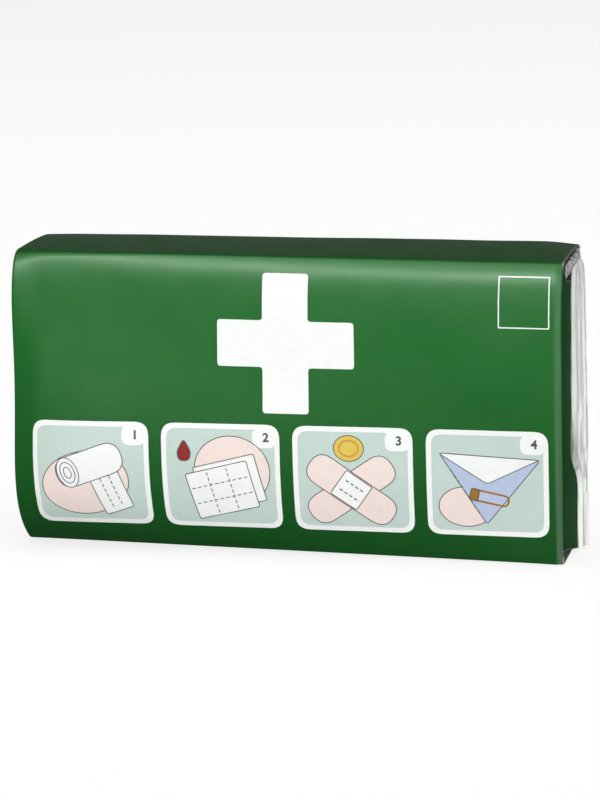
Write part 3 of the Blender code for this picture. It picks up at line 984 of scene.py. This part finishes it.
def make_print_layers(ink, wrapper):
    """One piece for each layer of marks, and one for each number."""
    inks = {
        name: make_print(f"ink_{name}", getattr(ink, "dark" if name == "line" else name))
        for name in ("white", "tint", "dark", "line", "pink", "red", "yellow", "orange", "blue", "ochre")
    }
    marks = print_marks(ink)
    for layer in sorted({mark.layer for mark in marks}):
        skin = Skin()
        used = []
        for mark in (mark for mark in marks if mark.layer == layer):
            pairs = zip(mark.points, mark.points[1:] + mark.points[:1])
            area = sum(x0 * z1 - x1 * z0 for (x0, z0), (x1, z1) in pairs)
            ring = skin.ring([(x, DRAWN_AT, z) for x, z in mark.points])
            skin.faces.append(tuple(ring if area > 0.0 else ring[::-1]))
            used.append(mark.ink)
        piece = skin.flat_piece(f"print_{layer}")
        names = sorted(set(used))
        for name in names:
            piece.data.materials.append(inks[name])
        for face, name in zip(piece.data.polygons, used):
            face.material_index = names.index(name)
        lay_on(piece, wrapper, layer)
        finish_piece(piece, "printed_sheet")
    for number, (x, z) in panel_middles(ink):
        bpy.ops.object.select_all(action="DESELECT")
        bpy.ops.object.text_add(rotation=(math.pi / 2.0, 0.0, 0.0), location=(
            x + ink.panel_size[0] / 2.0 - NUMBER_PLACE[0], DRAWN_AT,
            z + ink.panel_size[1] / 2.0 - NUMBER_PLACE[1],
        ))
        digit = bpy.context.object
        digit.name = f"number_{number}"
        digit.data.body = str(number)
        digit.data.size = ink.digit
        digit.data.offset = NUMBER_BOLD
        digit.data.align_x, digit.data.align_y = "CENTER", "CENTER"
        bpy.ops.object.convert(target="MESH")
        bpy.ops.object.transform_apply(location=True, rotation=True, scale=True)
        lay_on(digit, wrapper, 3)
        finish_piece(digit, "printed_sheet", inks["dark"])


def slot_place(sizes, pouch):
    """How far back the middle of the slot behind the flap lies."""
    return sizes.depth / 2.0 - sizes.sheet - pouch.gap - pouch.slot / 2.0


def film_sheet(name, rows):
    """A sheet of film through rows of points."""
    skin = Skin()
    skin.faces += ring_faces([skin.ring(points) for points in rows], closed=False)
    return skin.piece(name)


def finish_film(piece, thickness, *films):
    """Gives a sheet of film its thickness and finishes it."""
    add_modifier(piece, "SOLIDIFY", thickness=thickness, offset=0.0)
    return finish_piece(piece, "clear_film", *films, sharp=60.0)


def make_bag(sizes, pouch, film):
    """The pouch round the bandage, with its mouth drawn to the slot behind the flap."""
    pack = Pack(sizes)
    skin = Skin()
    inset = sizes.sheet + pouch.gap
    start, end = -pack.end + pouch.start, pack.end - POUCH_END
    rings = []
    for x in stretch(start, end, 40) + [end]:
        points = []
        for y, z in pack.outline(x, inset, PLAIN):
            drawn = 1.0 - 0.006 * (1.0 + wander(x, y, z, 0.008, 6.0))
            points.append((x, y * drawn, z * drawn + (1.0 - drawn) * sizes.height / 2.0))
        rings.append(skin.ring(points))
    mouth = slot_place(sizes, pouch)
    edge = [skin.points[i] for i in rings[-1]]
    for share in shares(14)[1:]:
        points = []
        for _, y, z in edge:
            target = MOUTH_MARGIN + (sizes.height - 2.0 * MOUTH_MARGIN) * z / sizes.height
            crumple = 1.0 + wander(0.0, y + z, share * 0.004, 0.0032, 2.0)
            out = MOUTH_OUT * math.sin(math.pi / 2.0 * share) - 0.0006 * crumple * math.sin(math.pi * share)
            points.append((
                end + out,
                y + (mouth + (0.0002 if y > mouth else -0.0002) - y) * share,
                z + (target - z) * share,
            ))
        rings.append(skin.ring(points))
    skin.faces += ring_faces(rings)
    bag = skin.piece("film_bag")
    add_modifier(bag, "SOLIDIFY", thickness=pouch.film, offset=0.0)
    return finish_piece(bag, "clear_film", film)


def make_gathers(sizes, pouch, film, name, shift, stand_off, spread, seed):
    """One layer of the pouch's gathered end, folded forward over the flap and spread on it half way up."""
    pack = Pack(sizes)
    slot = slot_place(sizes, pouch)
    high = sizes.height * LEVELS[-1].height
    rows = []
    for share in shares(80):
        z = pouch.foot + (high - pouch.foot) * share
        level = blended(LEVELS, LEVELS[-1].height * share)
        free = -sizes.depth / 2.0 + sizes.depth * level.edge
        free += 0.0007 * wander(0.0, 0.0, z, 0.010, seed)
        free -= spread * math.exp(-(((z - SPREAD_AT * sizes.height) / SPREAD_TALL) ** 2))
        points = [(pack.end - SLOT_START, slot, z)]
        for t in shares(70):
            y = slot + (free - slot) * t
            drop = REAR_DROP * share**4 * smooth(1.0 - t / 0.6)
            phase = t + shift + 0.030 * wander(0.0, t * 0.01, z, 0.022, seed + 1.0)
            pleat = blended(PLEATS, min(max(phase, 0.0), 1.0))
            stand = pouch.pleat_stand * max(pleat.stand, 0.0) * level.stand
            stand += 0.00022 * wander(0.0, y, z * 0.25, 0.0022, seed + 2.0)
            stand *= min(1.0, t / 0.04)
            off = stand_off * (1.0 - 0.55 * smooth((t - 0.7) / 0.3)) + max(stand, 0.0)
            points.append((pack.end + pack.flap_lift(y, z) + off, y, z - drop))
        rows.append(points)
    return finish_film(film_sheet(name, rows), pouch.film, film)


def make_tail(sizes, pouch, film):
    """The sealed fin at the foot of the gathered end."""
    start = Pack(sizes).end + FLAP_STAND + 0.0002
    rows = []
    for share in shares(32):
        z = pouch.foot + TAIL_HEIGHT * share
        points = []
        for t in shares(8):
            y = 0.0050 + 0.0010 * t + 0.0003 * wander(0.0, t * 0.004, z, 0.006, 9.0)
            points.append((start + TAIL_REACH * t, y, z))
        rows.append(points)
    return finish_film(film_sheet("film_tail", rows), SEAL, film)


def make_corner(sizes, pouch, film, edge_film):
    """The pouch's crumpled upper corner, which sticks out over the gathered end."""
    pack = Pack(sizes)
    half = sizes.depth / 2.0
    rows = []
    for share in shares(36):
        points = []
        for t in shares(36):
            y = -0.88 * half + (1.80 * half + 0.0004) * t
            foot = 0.0040 - 0.0012 * smooth(t / 0.5) + 0.0022 * smooth((t - 0.6) / 0.4)
            z = sizes.height - 0.0010 - foot * (1.0 - share) + 0.0009 * t * share
            bulge = math.sin(math.pi * min(1.0, 1.15 * t)) * math.sin(math.pi * min(1.0, 0.9 * share + 0.1))
            out = 0.0014 * bulge + 0.0012 * abs(wander(0.0, y, z, 0.0042, 21.0)) * (0.3 + share)
            out += 0.0005 * wander(0.0, y, z, 0.0016, 23.0)
            points.append((pack.end + 0.0002 + max(out, -0.0001), y, z))
        rows.append(points)
    corner = film_sheet("film_corner", rows)
    corner.data.materials.append(film)
    corner.data.materials.append(edge_film)
    for index, face in enumerate(corner.data.polygons):
        row, column = divmod(index, 36)
        if column < 2 or (row < 4 and column < 16):
            face.material_index = 1
    return finish_film(corner, pouch.film)


def make_bandage(sizes, bandage):
    """The folded bandage, grooved between its layers where they fold over at the top and the base."""
    pack = Pack(sizes)
    skin = Skin()
    half = sizes.depth / 2.0

    def scallop(y):
        place = min(max((y + half) / sizes.depth, 0.0), 1.0) * bandage.layers
        return bandage.groove * abs(math.cos(math.pi * place)) ** 3

    start, end = -pack.end + bandage.inset, pack.end - BANDAGE_END
    rings = []
    for tip, inward in ((start, 1.0), (end, -1.0)):
        side = []
        for angle in stretch(0.0, math.pi / 2.0, 6):
            x = tip + inward * bandage.end_radius * (1.0 - math.cos(angle))
            inset = bandage.inset + bandage.end_radius * (1.0 - math.sin(angle))
            side.append(pack.ring(x, inset, LAYERED, scallop))
        rings.append(side)
    places = stretch(start + bandage.end_radius, end - bandage.end_radius, 60)
    middle = [
        pack.ring(x, bandage.inset, LAYERED, scallop) for x in places + [end - bandage.end_radius]
    ]
    rings = [skin.ring(points) for points in rings[0] + middle + rings[1][::-1]]
    skin.faces += ring_faces(rings)
    skin.faces.append(tuple(rings[0]))
    skin.faces.append(tuple(rings[-1]))
    piece = skin.piece("folded_bandage")
    finish_piece(piece, "gauze", make_gauze(bandage.colour))
    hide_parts("bandage")
    return piece


# The operators


class PACK_OT_wrapper(bpy.types.Operator):
    """Make the printed wrapper with its flap"""

    bl_idname = "pack.wrapper"
    bl_label = "Wrapper"

    def execute(self, context):
        make_wrapper(context.scene.pack_wrapper)
        return {"FINISHED"}


class PACK_OT_print(bpy.types.Operator):
    """Lay the print on the wrapper's front panel"""

    bl_idname = "pack.print"
    bl_label = "Print"

    def execute(self, context):
        wrapper = bpy.data.objects.get("wrapper_sheet")
        if wrapper is None:
            raise RuntimeError("Make the wrapper before its print")
        make_print_layers(context.scene.pack_print, wrapper)
        return {"FINISHED"}


class PACK_OT_pouch(bpy.types.Operator):
    """Make the clear film pouch with its gathered end"""

    bl_idname = "pack.pouch"
    bl_label = "Film Pouch"

    def execute(self, context):
        sizes, pouch = context.scene.pack_wrapper, context.scene.pack_pouch
        clear = make_film("clear_film", pouch.colour, clear=0.30, hazy=0.70)
        outer = make_film("outer_film", pouch.colour, clear=0.25, hazy=0.70, free_edge=0.12)
        milky = make_film("gathered_film", pouch.colour, clear=0.85, hazy=0.95, free_edge=0.22)
        crumpled = make_film("crumpled_film", tinted(pouch.colour, 0.58), clear=0.40, hazy=0.85, run=0.8)
        sealed = make_film("sealed_film", tinted(pouch.colour, 0.62), clear=0.80, hazy=0.95)
        bag = make_bag(sizes, pouch, clear)
        gathers = make_gathers(sizes, pouch, milky, "film_gathers",
                               shift=0.0, stand_off=0.0006, spread=0.0, seed=11.0)
        over = make_gathers(sizes, pouch, outer, "film_gathers_over",
                            shift=-0.05, stand_off=0.0011, spread=0.0095, seed=17.0)
        tail = make_tail(sizes, pouch, sealed)
        corner = make_corner(sizes, pouch, crumpled, sealed)
        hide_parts("film_pouch")
        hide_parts("film_pouch")
        return {"FINISHED"}


class PACK_OT_bandage(bpy.types.Operator):
    """Make the folded bandage"""

    bl_idname = "pack.bandage"
    bl_label = "Bandage"

    def execute(self, context):
        make_bandage(context.scene.pack_wrapper, context.scene.pack_bandage)
        return {"FINISHED"}


def direction(azimuth, elevation):
    """The way from the pack to a place round it, angles in radians."""
    level = math.cos(elevation)
    return Vector((math.sin(azimuth) * level, -math.cos(azimuth) * level, math.sin(elevation)))


def add_lamp(lamp, power, lit_pieces):
    back = direction(math.radians(lamp.azimuth), math.radians(lamp.elevation))
    data = bpy.data.lights.new(lamp.name, "AREA")
    data.energy = power
    data.shape = "RECTANGLE"
    data.size, data.size_y = lamp.size
    light = bpy.data.objects.new(lamp.name, data)
    light.location = TARGET + back * lamp.distance
    light.rotation_euler = back.to_track_quat("Z", "Y").to_euler()
    light.visible_glossy = lamp.shows != "matt"
    light.visible_diffuse = lamp.shows != "shiny"
    lit = bpy.data.collections.new(f"lit_by_{lamp.name}")
    for piece in lit_pieces:
        lit.objects.link(piece)
    light.light_linking.receiver_collection = lit
    bpy.context.scene.collection.objects.link(light)


def add_backdrop(piece, name, colour, glow, share):
    """Gives a piece of the stage a pale, evenly lit finish and keeps it out of the pack's light."""
    piece.name = name
    nodes = Nodes(name)
    grain = nodes.spread(nodes.speckle(60.0, 3.0), 0.0, 1.0)
    pale, dark = (tinted(colour, tone * share) for tone in (1.02, 0.98))
    nodes.shade(nodes.colours(grain, dark, pale), "Base Color")
    nodes.set(Roughness=0.8, Specular_IOR_Level=0.1, Emission_Strength=glow)
    nodes.set(Emission_Color=(*colour, 1.0))
    piece.data.materials.append(nodes.material)
    piece.visible_diffuse = piece.visible_glossy = piece.visible_shadow = False


class PACK_OT_stage(bpy.types.Operator):
    """Set up the floor, the soft lights and the camera"""

    bl_idname = "pack.stage"
    bl_label = "Stage"

    def execute(self, context):
        scene, stage = context.scene, context.scene.pack_stage
        pack = [piece for piece in bpy.data.objects if piece.type == "MESH"]
        film = [piece for piece in pack if piece.name.startswith("film")]
        bpy.ops.object.select_all(action="DESELECT")
        bpy.ops.mesh.primitive_plane_add(size=stage.floor_size, location=(0.0, 0.0, -0.0002))
        bpy.ops.object.transform_apply(location=True, rotation=True, scale=True)
        add_backdrop(context.object, "floor", stage.floor_colour, glow=0.84, share=0.25)
        lit = {"pack": pack, "film": film, "floor": [context.object]}
        bpy.ops.object.select_all(action="DESELECT")
        bpy.ops.mesh.primitive_uv_sphere_add(segments=48, ring_count=24, radius=0.45 * stage.floor_size)
        bpy.ops.object.shade_smooth()
        add_backdrop(context.object, "backdrop", stage.floor_colour, glow=0.87, share=0.02)

        for lamp in LAMPS:
            add_lamp(lamp, getattr(stage, lamp.name), lit[lamp.on])
        world = bpy.data.worlds.new("surroundings")
        world.use_nodes = True
        world.node_tree.nodes["Background"].inputs["Color"].default_value = (1.0, 1.0, 1.0, 1.0)
        world.node_tree.nodes["Background"].inputs["Strength"].default_value = stage.world
        scene.world = world
        scene.view_settings.view_transform = "Standard"

        back = direction(stage.azimuth, stage.elevation)
        right = Vector((math.cos(stage.azimuth), math.sin(stage.azimuth), 0.0))
        right = right * math.cos(stage.roll) + back.cross(right) * math.sin(stage.roll)
        up = back.cross(right)
        camera = bpy.data.objects.new("camera", bpy.data.cameras.new("camera"))
        camera.data.lens = stage.lens
        camera.data.clip_start, camera.data.clip_end = 0.05, 40.0
        camera.matrix_world = Matrix.Translation(TARGET + back * stage.distance) @ Matrix(
            (right, up, back)
        ).transposed().to_4x4()
        scene.collection.objects.link(camera)
        scene.camera = camera
        return {"FINISHED"}


class PACK_PT_panel(bpy.types.Panel):
    """Sizes, colours and pieces of the pack"""

    bl_idname = "PACK_PT_panel"
    bl_label = "Bandage Pack"
    bl_space_type = "VIEW_3D"
    bl_region_type = "UI"
    bl_category = "Bandage Pack"

    def draw(self, context):
        for operator in OPERATORS:
            self.layout.operator(operator.bl_idname)
        for label, settings in SETTINGS.items():
            box = self.layout.box()
            box.label(text=label)
            group = getattr(context.scene, f"pack_{label.lower()}")
            for name in settings.__annotations__:
                box.prop(group, name)


OPERATORS = (PACK_OT_wrapper, PACK_OT_print, PACK_OT_pouch, PACK_OT_bandage, PACK_OT_stage)
SETTINGS = {
    "Wrapper": WrapperSettings,
    "Print": PrintSettings,
    "Pouch": PouchSettings,
    "Bandage": BandageSettings,
    "Stage": StageSettings,
}


def register():
    for item in (*SETTINGS.values(), *OPERATORS, PACK_PT_panel):
        bpy.utils.register_class(item)
    for label, settings in SETTINGS.items():
        setattr(bpy.types.Scene, f"pack_{label.lower()}", PointerProperty(type=settings))


def unregister():
    for label in SETTINGS:
        delattr(bpy.types.Scene, f"pack_{label.lower()}")
    for item in (PACK_PT_panel, *OPERATORS[::-1], *SETTINGS.values()):
        bpy.utils.unregister_class(item)


def main():
    register()
    for operator in OPERATORS:
        group, name = operator.bl_idname.split(".")
        getattr(getattr(bpy.ops, group), name)()
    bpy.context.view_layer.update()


if __name__ == "__main__":
    main()
